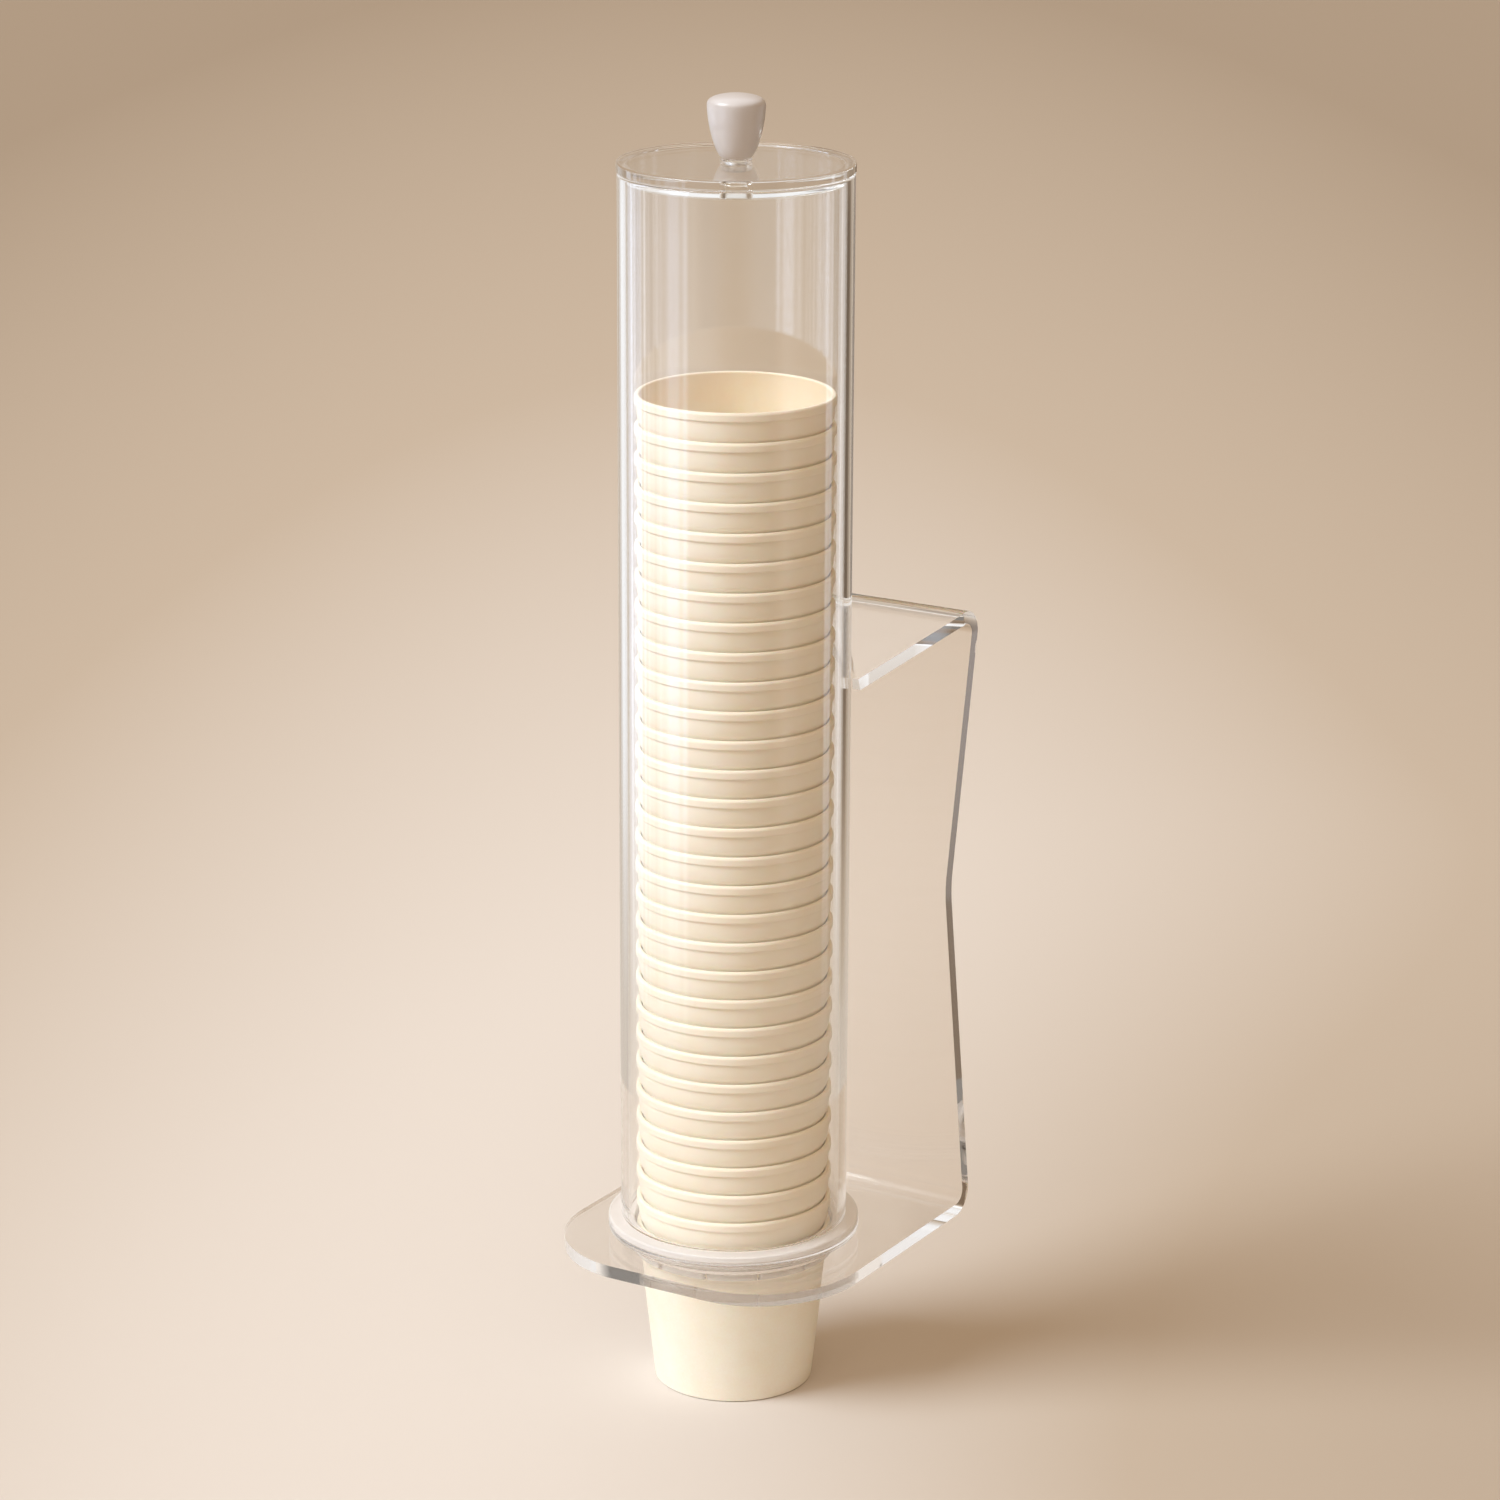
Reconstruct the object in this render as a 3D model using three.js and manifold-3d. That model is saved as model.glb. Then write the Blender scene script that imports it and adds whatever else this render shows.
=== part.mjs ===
// Wall cup dispenser: a clear tube of nested paper cups standing on a bent sheet bracket.
// Millimetres, +Z up. The origin is the centre of the back plate's rear face, and +Y points into the wall.

import * as THREE from 'three';
import { mergeVertices } from 'three/addons/utils/BufferGeometryUtils.js';
import Module from 'manifold-3d';

// Gaps between pieces, and the overrun and the welding distance of the cuts
const SEAT_GAP = 0.3;
const RUNNING_CLEARANCE = 0.3;
const CUT_OVERRUN = 2;
const MERGE_DISTANCE = 0.00001;

// Bracket, one sheet bent at the bottom and at the top
const SHEET_THICKNESS = 5;
const BRACKET_HEIGHT = 254.5;
const BRACKET_HALF_WIDTH = 63.5;
const BEND_INNER_RADIUS = 5;
const TUBE_TO_WALL = 80.4;
const PLATE_FRONT_TO_TUBE = 57.6;
const CORNER_ACROSS = 42.4;
const CORNER_ALONG = 44.8;
const WAIST_DEPTH = 10.2;
const WAIST_RISE = 9;
const WAIST_BLEND = 7;
const FLANGE_DROP = 17;
const FLANGE_TIP_HALF_WIDTH = 45.9;
const FLANGE_TIP_BEHIND_AXIS = 16;
const NOTCH_CLEARANCE = 1;
const CORNER_STEPS = 8;
const BEND_STEPS = 6;
const WAIST_STEPS = 4;

// Clear tube
const TUBE_OUTER_RADIUS = 45;
const TUBE_WALL = 3;
const TUBE_LENGTH = 418.7;
const TUBE_EDGE = 0.4;

// Collar that drops into the bracket's hole
const COLLAR_FLANGE_RADIUS = 50;
const COLLAR_FLANGE_HEIGHT = 2.2;
const COLLAR_BODY_RADIUS = 45;
const COLLAR_BODY_HEIGHT = 3;
const COLLAR_SPIGOT_RADIUS = 42.6;
const COLLAR_SPIGOT_DEPTH = 4;
const COLLAR_EDGE = 0.4;

// Soft ring whose petals hold the bottom cup by its rim
const RING_FLANGE_HEIGHT = 2.8;
const RING_EDGE = 0.6;
const SLEEVE_OUTER_RADIUS = 40.3;
const SLEEVE_WALL = 0.7;
const PETAL_THICKNESS = 0.8;
const PETAL_DROP = 0.8;
const PETAL_TIP_CLEARANCE = 0.4;
const PETAL_COUNT = 12;
const SLIT_WIDTH = 1;
const SLIT_RISE = 2.4;

// Paper cup
const CUP_COUNT = 31;
const CUP_PITCH = 11.62;
const CUP_HEIGHT = 55.9;
const CUP_BASE_RADIUS = 31.5;
const CUP_WALL_TOP_RADIUS = 37.3;
const CUP_RIM_RADIUS = 38.8;
const CUP_BEAD_HEIGHT = 3.4;
const CUP_WALL = 0.6;
const CUP_SKIRT = 1;
const BEAD_LOWER_SHARE = 0.28;
const BEAD_UPPER_SHARE = 0.78;
const BEAD_CREST_SHARE = 0.45;
const BOTTOM_RIM_BELOW_RING = 13.6;

// Lid, its locating disc, its knob and the screw that joins them
const LID_RADIUS = 45.3;
const LID_THICKNESS = 4;
const LID_EDGE = 0.4;
const LOCATING_DISC_THICKNESS = 3;
const LOCATING_DISC_CLEARANCE = 0.8;
const SCREW_RADIUS = 4;
const SCREW_IN_KNOB = 9;
const SCREW_HEAD_RADIUS = 6;
const SCREW_HEAD_HEIGHT = 2.4;
const SCREW_HEAD_EDGE = 0.6;
const RECESS_LENGTH = 6;
const RECESS_WIDTH = 1.2;
const RECESS_DEPTH = 1.3;
const WASHER_RADIUS = 6;
const WASHER_HEIGHT = 0.8;
const KNOB_RADIUS = 11.1;
const KNOB_HEIGHT = 24.1;
const KNOB_BORE_SPARE = 1;

// Knob outline from foot to crown, as shares of its greatest radius and of its height
const KNOB_OUTLINE_SHARES = [
  [0.5, 0], [0.55, 0.02], [0.65, 0.09], [0.77, 0.23], [0.89, 0.42], [0.96, 0.6], [1, 0.78],
  [0.99, 0.86], [0.92, 0.915], [0.74, 0.955], [0.42, 0.988],
];

// Facets round each turned piece
const TUBE_FACETS = 52;
const DISC_FACETS = 36;
const RING_FACETS = 40;
const CUP_FACETS = 18;
const KNOB_FACETS = 24;
const SCREW_FACETS = 12;

const clearAcrylic = { color: 0xe9e2da, roughness: 0.04, metalness: 0, transparent: true, opacity: 0.28 };
const MATERIALS = {
  acrylic: new THREE.MeshStandardMaterial(clearAcrylic),
  silicone: new THREE.MeshStandardMaterial({ color: 0xe6e0dd, roughness: 0.45, metalness: 0 }),
  paper: new THREE.MeshStandardMaterial({ color: 0xf3e6cb, roughness: 0.75, metalness: 0 }),
  knob: new THREE.MeshStandardMaterial({ color: 0xf1efec, roughness: 0.18, metalness: 0 }),
};

const wasm = await Module();
wasm.setup();

// Heights about the tube's axis, worked out from the bracket's bottom upwards
const plateTop = -BRACKET_HEIGHT / 2 + SHEET_THICKNESS;
const collarBottom = plateTop + SEAT_GAP;
const collarTop = collarBottom + COLLAR_BODY_HEIGHT + COLLAR_FLANGE_HEIGHT;
const ringBottom = collarTop + SEAT_GAP;
const ringTop = ringBottom + RING_FLANGE_HEIGHT;
const tubeBottom = ringTop + SEAT_GAP;
const tubeTop = tubeBottom + TUBE_LENGTH;
const lidBottom = tubeTop + SEAT_GAP;
const lidTop = lidBottom + LID_THICKNESS;
const bottomRim = ringTop - BOTTOM_RIM_BELOW_RING;
const sleeveInnerRadius = SLEEVE_OUTER_RADIUS - SLEEVE_WALL;
const tubeInnerRadius = TUBE_OUTER_RADIUS - TUBE_WALL;

// Joins equal points and drops the flat triangles that a profile leaves on its axis.
function welded(geometry) {
  const source = geometry.index ? geometry.toNonIndexed() : geometry.clone();
  source.deleteAttribute('normal');
  source.deleteAttribute('uv');
  const joined = mergeVertices(source, MERGE_DISTANCE);
  const kept = [];
  const corners = joined.index.array;
  for (let i = 0; i < corners.length; i += 3) {
    const [a, b, c] = [corners[i], corners[i + 1], corners[i + 2]];
    if (a !== b && b !== c && c !== a) kept.push(a, b, c);
  }
  joined.setIndex(kept);
  joined.computeVertexNormals();
  return joined;
}

// Turns an outline of [radius, height] pairs about Z, wound so that its faces point out.
function revolved(outline, facets) {
  let area = 0;
  outline.forEach(([r, z], i) => {
    const [nextR, nextZ] = outline[(i + 1) % outline.length];
    area += r * nextZ - nextR * z;
  });
  const points = outline.map(([r, z]) => new THREE.Vector2(r, z));
  if (outline[0][0] > 0) points.push(points[0].clone());
  if (area < 0) points.reverse();
  return welded(new THREE.LatheGeometry(points, facets).rotateX(Math.PI / 2));
}

function toManifold(geometry) {
  const closed = welded(geometry);
  return new wasm.Manifold(new wasm.Mesh({
    numProp: 3,
    vertProperties: new Float32Array(closed.attributes.position.array),
    triVerts: new Uint32Array(closed.index.array),
  }));
}

function subtracted(geometry, cutters) {
  let solid = toManifold(geometry);
  for (const cutter of cutters) solid = solid.subtract(toManifold(cutter));
  const mesh = solid.getMesh();
  const result = new THREE.BufferGeometry();
  result.setAttribute('position', new THREE.BufferAttribute(new Float32Array(mesh.vertProperties), 3));
  result.setIndex([...mesh.triVerts]);
  return welded(result);
}

function uprightCylinder(radius, bottom, top, y, facets) {
  const cylinder = new THREE.CylinderGeometry(radius, radius, top - bottom, facets);
  return cylinder.rotateX(Math.PI / 2).translate(0, y, (bottom + top) / 2);
}

// Joins cross sections of the sheet, each with its outer point, its inner point and its half width.
function sheetAlong(sections) {
  const positions = [];
  for (const { outer, inner, half } of sections) {
    positions.push(-half, ...outer, half, ...outer, half, ...inner, -half, ...inner);
  }
  const faces = [];
  const quad = (a, b, c, d) => faces.push(a, b, c, a, c, d);
  for (let i = 0; i + 1 < sections.length; i += 1) {
    for (let side = 0; side < 4; side += 1) {
      const next = (side + 1) % 4;
      quad(4 * i + side, 4 * (i + 1) + side, 4 * (i + 1) + next, 4 * i + next);
    }
  }
  const last = 4 * (sections.length - 1);
  quad(0, 1, 2, 3);
  quad(last + 3, last + 2, last + 1, last);
  const geometry = new THREE.BufferGeometry();
  geometry.setAttribute('position', new THREE.Float32BufferAttribute(positions, 3));
  geometry.setIndex(faces);
  return geometry;
}

// Sections of a bend about a centre, from one outward direction to another, angles from -Z towards +Y.
function bendSections(centreY, centreZ, fromAngle, toAngle, half) {
  const outerRadius = BEND_INNER_RADIUS + SHEET_THICKNESS;
  return Array.from({ length: BEND_STEPS + 1 }, (_, step) => {
    const angle = THREE.MathUtils.lerp(fromAngle, toAngle, step / BEND_STEPS);
    const at = (radius) => [centreY + radius * Math.sin(angle), centreZ - radius * Math.cos(angle)];
    return { outer: at(outerRadius), inner: at(BEND_INNER_RADIUS), half };
  });
}

function bracketGeometry() {
  const bottom = -BRACKET_HEIGHT / 2;
  const top = BRACKET_HEIGHT / 2;
  const bendRadius = BEND_INNER_RADIUS + SHEET_THICKNESS;
  const front = -TUBE_TO_WALL - PLATE_FRONT_TO_TUBE;
  const sections = [];

  // Bottom plate with its rounded front corners
  for (let step = 0; step <= CORNER_STEPS; step += 1) {
    const turn = (Math.PI / 2) * (step / CORNER_STEPS);
    const y = front + CORNER_ALONG * (1 - Math.cos(turn));
    const half = BRACKET_HALF_WIDTH - CORNER_ACROSS * (1 - Math.sin(turn));
    sections.push({ outer: [y, bottom], inner: [y, plateTop], half });
  }
  sections.push(...bendSections(-bendRadius, bottom + bendRadius, 0, Math.PI / 2, BRACKET_HALF_WIDTH));

  // Back plate, drawn in to its waist
  const waistHalf = BRACKET_HALF_WIDTH - WAIST_DEPTH;
  const lowerRun = (WAIST_RISE - WAIST_BLEND) - (bottom + bendRadius);
  const upperRun = (top - bendRadius) - (WAIST_RISE + WAIST_BLEND);
  const waist = new THREE.QuadraticBezierCurve(
    new THREE.Vector2(waistHalf + WAIST_DEPTH * (WAIST_BLEND / (lowerRun + WAIST_BLEND)), WAIST_RISE - WAIST_BLEND),
    new THREE.Vector2(waistHalf, WAIST_RISE),
    new THREE.Vector2(waistHalf + WAIST_DEPTH * (WAIST_BLEND / (upperRun + WAIST_BLEND)), WAIST_RISE + WAIST_BLEND),
  );
  for (const { x: half, y: z } of waist.getPoints(WAIST_STEPS)) {
    sections.push({ outer: [0, z], inner: [-SHEET_THICKNESS, z], half });
  }

  // Top flange, bent a little past square so that it falls towards the tube
  const tip = new THREE.Vector2(-TUBE_TO_WALL + FLANGE_TIP_BEHIND_AXIS, top - FLANGE_DROP);
  const toTip = tip.clone().sub(new THREE.Vector2(-bendRadius, top - bendRadius));
  const fall = Math.atan2(-toTip.x, toTip.y) - Math.acos(bendRadius / toTip.length());
  const topBend = bendSections(-bendRadius, top - bendRadius, Math.PI / 2, Math.PI + fall, BRACKET_HALF_WIDTH);
  const under = [tip.x + SHEET_THICKNESS * Math.sin(fall), tip.y - SHEET_THICKNESS * Math.cos(fall)];
  sections.push(...topBend, { outer: [tip.x, tip.y], inner: under, half: FLANGE_TIP_HALF_WIDTH });

  const holeRadius = COLLAR_SPIGOT_RADIUS + RUNNING_CLEARANCE;
  const notchRadius = TUBE_OUTER_RADIUS + NOTCH_CLEARANCE;
  const notchFloor = top - FLANGE_DROP - SHEET_THICKNESS - CUT_OVERRUN;
  return subtracted(sheetAlong(sections), [
    uprightCylinder(holeRadius, bottom - CUT_OVERRUN, plateTop + CUT_OVERRUN, -TUBE_TO_WALL, RING_FACETS),
    uprightCylinder(notchRadius, notchFloor, top + CUT_OVERRUN, -TUBE_TO_WALL, RING_FACETS),
  ]);
}

function tubeGeometry() {
  return revolved([
    [tubeInnerRadius, 0], [TUBE_OUTER_RADIUS - TUBE_EDGE, 0], [TUBE_OUTER_RADIUS, TUBE_EDGE],
    [TUBE_OUTER_RADIUS, TUBE_LENGTH - TUBE_EDGE], [TUBE_OUTER_RADIUS - TUBE_EDGE, TUBE_LENGTH],
    [tubeInnerRadius, TUBE_LENGTH],
  ], TUBE_FACETS);
}

// Heights from the collar's underside, where it rests on the bracket
function collarGeometry() {
  const boreRadius = SLEEVE_OUTER_RADIUS + RUNNING_CLEARANCE;
  const height = COLLAR_BODY_HEIGHT + COLLAR_FLANGE_HEIGHT;
  return revolved([
    [boreRadius, -COLLAR_SPIGOT_DEPTH], [COLLAR_SPIGOT_RADIUS, -COLLAR_SPIGOT_DEPTH],
    [COLLAR_SPIGOT_RADIUS, 0], [COLLAR_BODY_RADIUS, 0], [COLLAR_BODY_RADIUS, COLLAR_BODY_HEIGHT],
    [COLLAR_FLANGE_RADIUS, COLLAR_BODY_HEIGHT], [COLLAR_FLANGE_RADIUS, height - COLLAR_EDGE],
    [COLLAR_FLANGE_RADIUS - COLLAR_EDGE, height], [boreRadius, height],
  ], RING_FACETS);
}

function cupWallRadius(height) {
  const share = height / (CUP_HEIGHT - CUP_BEAD_HEIGHT);
  return THREE.MathUtils.lerp(CUP_BASE_RADIUS, CUP_WALL_TOP_RADIUS, share);
}

// Heights from the ring's top face, where the tube stands
function cupStopRingGeometry() {
  const petalTip = -BOTTOM_RIM_BELOW_RING - CUP_BEAD_HEIGHT - SEAT_GAP;
  const petalRoot = petalTip + PETAL_DROP;
  const cupBottom = -BOTTOM_RIM_BELOW_RING - CUP_HEIGHT;
  const tipRadius = cupWallRadius(petalTip - cupBottom) + PETAL_TIP_CLEARANCE;
  const ring = revolved([
    [SLEEVE_OUTER_RADIUS, -RING_FLANGE_HEIGHT], [COLLAR_FLANGE_RADIUS, -RING_FLANGE_HEIGHT],
    [COLLAR_FLANGE_RADIUS, -RING_EDGE], [COLLAR_FLANGE_RADIUS - RING_EDGE, 0], [sleeveInnerRadius, 0],
    [sleeveInnerRadius, petalRoot], [tipRadius, petalTip], [tipRadius, petalTip - PETAL_THICKNESS],
    [SLEEVE_OUTER_RADIUS, petalRoot - PETAL_THICKNESS],
  ], RING_FACETS);
  const slitReach = SLEEVE_OUTER_RADIUS + CUT_OVERRUN;
  const slitHeight = SLIT_RISE + PETAL_DROP + PETAL_THICKNESS + CUT_OVERRUN;
  const slits = Array.from({ length: PETAL_COUNT / 2 }, (_, i) => {
    const slit = new THREE.BoxGeometry(2 * slitReach, SLIT_WIDTH, slitHeight);
    slit.translate(0, 0, petalRoot + SLIT_RISE - slitHeight / 2);
    return slit.rotateZ((i + 0.5) * (2 * Math.PI / PETAL_COUNT));
  });
  return subtracted(ring, slits);
}

// Heights from the cup's foot. The cup above stands on this one's floor.
function cupGeometry() {
  const floorTop = CUP_PITCH - SEAT_GAP;
  const floorUnder = floorTop - CUP_WALL;
  const beadBottom = CUP_HEIGHT - CUP_BEAD_HEIGHT;
  const mouthRadius = CUP_WALL_TOP_RADIUS - CUP_WALL;
  const crestRadius = THREE.MathUtils.lerp(mouthRadius, CUP_RIM_RADIUS, BEAD_CREST_SHARE);
  return revolved([
    [0, floorUnder], [cupWallRadius(floorUnder) - CUP_SKIRT, floorUnder], [CUP_BASE_RADIUS - CUP_SKIRT, 0],
    [CUP_BASE_RADIUS, 0], [CUP_WALL_TOP_RADIUS, beadBottom],
    [CUP_RIM_RADIUS, beadBottom + CUP_BEAD_HEIGHT * BEAD_LOWER_SHARE],
    [CUP_RIM_RADIUS, beadBottom + CUP_BEAD_HEIGHT * BEAD_UPPER_SHARE],
    [crestRadius, CUP_HEIGHT],
    [mouthRadius, beadBottom + CUP_BEAD_HEIGHT * BEAD_UPPER_SHARE],
    [cupWallRadius(floorTop) - CUP_WALL, floorTop], [0, floorTop],
  ], CUP_FACETS);
}

function discGeometry(radius, thickness, edge) {
  const boreRadius = SCREW_RADIUS + RUNNING_CLEARANCE;
  return revolved([
    [boreRadius, 0], [radius - edge, 0], [radius, edge], [radius, thickness - edge],
    [radius - edge, thickness], [boreRadius, thickness],
  ], DISC_FACETS);
}

function knobGeometry() {
  const boreRadius = SCREW_RADIUS + RUNNING_CLEARANCE;
  const boreTop = SCREW_IN_KNOB + KNOB_BORE_SPARE;
  const outline = KNOB_OUTLINE_SHARES.map(([r, z]) => [r * KNOB_RADIUS, z * KNOB_HEIGHT]);
  return revolved([[0, boreTop], [boreRadius, boreTop], [boreRadius, 0], ...outline, [0, KNOB_HEIGHT]], KNOB_FACETS);
}

function washerGeometry() {
  const boreRadius = SCREW_RADIUS + RUNNING_CLEARANCE;
  return revolved([
    [boreRadius, 0], [WASHER_RADIUS, 0], [WASHER_RADIUS, WASHER_HEIGHT], [boreRadius, WASHER_HEIGHT],
  ], KNOB_FACETS);
}

// Heights from the screw head's seat, with the shank rising into the knob
function screwGeometry(shankLength) {
  const screw = revolved([
    [0, -SCREW_HEAD_HEIGHT], [SCREW_HEAD_RADIUS - SCREW_HEAD_EDGE, -SCREW_HEAD_HEIGHT],
    [SCREW_HEAD_RADIUS, SCREW_HEAD_EDGE - SCREW_HEAD_HEIGHT], [SCREW_HEAD_RADIUS, 0],
    [SCREW_RADIUS, 0], [SCREW_RADIUS, shankLength], [0, shankLength],
  ], SCREW_FACETS);
  const recess = [0, Math.PI / 2].map((turn) => {
    const slot = new THREE.BoxGeometry(RECESS_LENGTH, RECESS_WIDTH, 2 * RECESS_DEPTH);
    return slot.rotateZ(turn).translate(0, 0, -SCREW_HEAD_HEIGHT);
  });
  return subtracted(screw, recess);
}

function named(name, geometry, material, z = 0) {
  const mesh = new THREE.Mesh(geometry, material);
  mesh.name = name;
  mesh.position.z = z;
  return mesh;
}

const dispenser = new THREE.Group();
dispenser.add(named('bracket', bracketGeometry(), MATERIALS.acrylic));

// Everything round the tube's axis
const column = new THREE.Group();
column.position.y = -TUBE_TO_WALL;
dispenser.add(column);
column.add(named('base_collar', collarGeometry(), MATERIALS.acrylic, collarBottom));
column.add(named('cup_stop_ring', cupStopRingGeometry(), MATERIALS.silicone, ringTop));
column.add(named('tube', tubeGeometry(), MATERIALS.acrylic, tubeBottom));

// Cups, numbered from the top of the stack
const cup = cupGeometry();
for (let number = 1; number <= CUP_COUNT; number += 1) {
  const foot = bottomRim - CUP_HEIGHT + (CUP_COUNT - number) * CUP_PITCH;
  column.add(named(`cup_${String(number).padStart(2, '0')}`, cup, MATERIALS.paper, foot));
}

// Lid
const washerBottom = lidTop + SEAT_GAP;
const knobBottom = washerBottom + WASHER_HEIGHT + SEAT_GAP;
const locatingDiscBottom = lidBottom - SEAT_GAP - LOCATING_DISC_THICKNESS;
const screwSeat = locatingDiscBottom - SEAT_GAP;
const locatingDiscRadius = tubeInnerRadius - LOCATING_DISC_CLEARANCE;
const locatingDisc = discGeometry(locatingDiscRadius, LOCATING_DISC_THICKNESS, LID_EDGE);
column.add(named('lid_disc', discGeometry(LID_RADIUS, LID_THICKNESS, LID_EDGE), MATERIALS.acrylic, lidBottom));
column.add(named('lid_locating_disc', locatingDisc, MATERIALS.acrylic, locatingDiscBottom));
column.add(named('knob_washer', washerGeometry(), MATERIALS.acrylic, washerBottom));
column.add(named('knob', knobGeometry(), MATERIALS.knob, knobBottom));
column.add(named('knob_screw', screwGeometry(knobBottom + SCREW_IN_KNOB - screwSeat), MATERIALS.acrylic, screwSeat));

export default dispenser;
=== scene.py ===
"""Wall cup dispenser: a clear acrylic tube of nested paper cups on a bent acrylic bracket."""

import math

import bmesh
import bpy
from mathutils import Matrix, Vector


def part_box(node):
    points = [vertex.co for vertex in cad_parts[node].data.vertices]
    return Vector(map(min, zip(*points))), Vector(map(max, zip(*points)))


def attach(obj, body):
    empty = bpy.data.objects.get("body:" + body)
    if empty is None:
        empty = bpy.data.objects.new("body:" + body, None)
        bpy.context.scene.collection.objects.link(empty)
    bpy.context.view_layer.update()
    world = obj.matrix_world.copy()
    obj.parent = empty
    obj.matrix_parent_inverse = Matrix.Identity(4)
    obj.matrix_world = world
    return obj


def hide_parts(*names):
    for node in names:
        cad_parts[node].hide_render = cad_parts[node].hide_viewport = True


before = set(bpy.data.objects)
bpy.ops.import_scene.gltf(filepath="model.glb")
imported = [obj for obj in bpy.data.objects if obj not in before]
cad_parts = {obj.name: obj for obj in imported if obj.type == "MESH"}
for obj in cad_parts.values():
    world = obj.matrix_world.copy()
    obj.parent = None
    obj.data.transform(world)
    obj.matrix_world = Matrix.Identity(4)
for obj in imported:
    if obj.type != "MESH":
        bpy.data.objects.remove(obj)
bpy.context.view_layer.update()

MM = 0.001
TURN = 2 * math.pi

# Where the pieces stand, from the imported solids, in millimetres
TUBE_LOW, TUBE_HIGH = (corner / MM for corner in map(Vector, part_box("tube")))
AXIS_Y = (TUBE_LOW.y + TUBE_HIGH.y) / 2
RING_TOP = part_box("cup_stop_ring")[1][2] / MM
COLLAR_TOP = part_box("base_collar")[1][2] / MM
LID_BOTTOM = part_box("lid_disc")[0][2] / MM
LOCATING_DISC_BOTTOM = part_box("lid_locating_disc")[0][2] / MM
WASHER_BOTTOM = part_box("knob_washer")[0][2] / MM
KNOB_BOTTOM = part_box("knob")[0][2] / MM
SCREW_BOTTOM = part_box("knob_screw")[0][2] / MM
BRACKET_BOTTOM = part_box("bracket")[0][2] / MM
BRACKET_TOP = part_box("bracket")[1][2] / MM
BRACKET_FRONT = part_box("bracket")[0][1] / MM
CUP_COUNT = 31

# How often light has been mirrored, has passed through a clear face or has bounced, half way between counts
ONCE_OR_MORE = 0.5
TWICE_OR_MORE = 1.5
MOST_MIRRORINGS = 2.5
MOST_BOUNCES = 8.5

# Finishes, with the grains of the cup board in millimetres
ACRYLIC_IOR = 1.49
ACRYLIC_SHADE = "#FEFDFC"
RING_GRAINS = 1000 / 1.5  # across the ring's 100 mm, so 0.15 mm each
KNOB_RIPPLES = 1000 / 9  # across the knob's 22.2 mm, so 0.2 mm each
FIBRE_GRAIN = 0.9
CLOUD_GRAIN = 14
SMOOTH_ANGLE = math.radians(32)


def linear(hex_colour):
    """An sRGB hex colour as the linear RGBA that Blender's sockets take."""
    channels = [int(hex_colour[i:i + 2], 16) / 255 for i in (1, 3, 5)]
    return [c / 12.92 if c <= 0.04045 else ((c + 0.055) / 1.055) ** 2.4 for c in channels] + [1.0]


def add_node(tree, kind, links=(), values=(), **settings):
    """Adds a node with its settings, its socket values and its links from other nodes' outputs."""
    node = tree.nodes.new(kind)
    for key, value in settings.items():
        setattr(node, key, value)
    for socket, value in dict(values).items():
        node.inputs[socket].default_value = value
    for socket, output in dict(links).items():
        tree.links.new(output, node.inputs[socket])
    return node


def new_material(name):
    """An empty material with its output node."""
    material = bpy.data.materials.new(name)
    material.use_nodes = True
    tree = material.node_tree
    tree.nodes.clear()
    return material, tree, tree.nodes.new("ShaderNodeOutputMaterial")


def clear_acrylic(name, colour):
    """Cast acrylic, polished: it bends and mirrors light, and its edges show light and dark lines.

    The lamps reach what is inside it, and light that has been mirrored or has bounced often goes
    straight through.
    """
    material, tree, output = new_material(name)
    body = add_node(tree, "ShaderNodeBsdfPrincipled", values={
        "Base Color": linear(colour), "Roughness": 0.0, "IOR": ACRYLIC_IOR, "Transmission Weight": 1.0})
    passing = add_node(tree, "ShaderNodeBsdfTransparent", values={"Color": linear(ACRYLIC_SHADE)})
    path = add_node(tree, "ShaderNodeLightPath")
    factor = add_node(tree, "ShaderNodeMath", operation="MAXIMUM", links={
        0: path.outputs["Is Shadow Ray"], 1: path.outputs["Is Diffuse Ray"]})
    for count, most in (("Glossy Depth", MOST_MIRRORINGS), ("Ray Depth", MOST_BOUNCES)):
        spent = add_node(tree, "ShaderNodeMath", operation="GREATER_THAN",
                         links={0: path.outputs[count]}, values={1: most})
        factor = add_node(tree, "ShaderNodeMath", operation="MAXIMUM",
                          links={0: factor.outputs[0], 1: spent.outputs[0]})
    mixed = add_node(tree, "ShaderNodeMixShader", links={
        0: factor.outputs[0], 1: body.outputs[0], 2: passing.outputs[0]})
    tree.links.new(mixed.outputs[0], output.inputs["Surface"])
    return material


def milky_silicone():
    """Cast silicone rubber, translucent: soft white through its depth, with a satin moulded face."""
    material, tree, output = new_material("milky_silicone")
    grain = add_node(tree, "ShaderNodeTexNoise", values={"Scale": RING_GRAINS, "Detail": 2.0})
    bump = add_node(tree, "ShaderNodeBump", links={"Height": grain.outputs["Fac"]},
                    values={"Strength": 0.04, "Distance": 0.1 * MM})
    body = add_node(tree, "ShaderNodeBsdfPrincipled", links={"Normal": bump.outputs[0]}, values={
        "Base Color": linear("#F7F6F8"), "Roughness": 0.25, "IOR": 1.41, "Alpha": 0.5})
    tree.links.new(body.outputs[0], output.inputs["Surface"])
    return material


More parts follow.
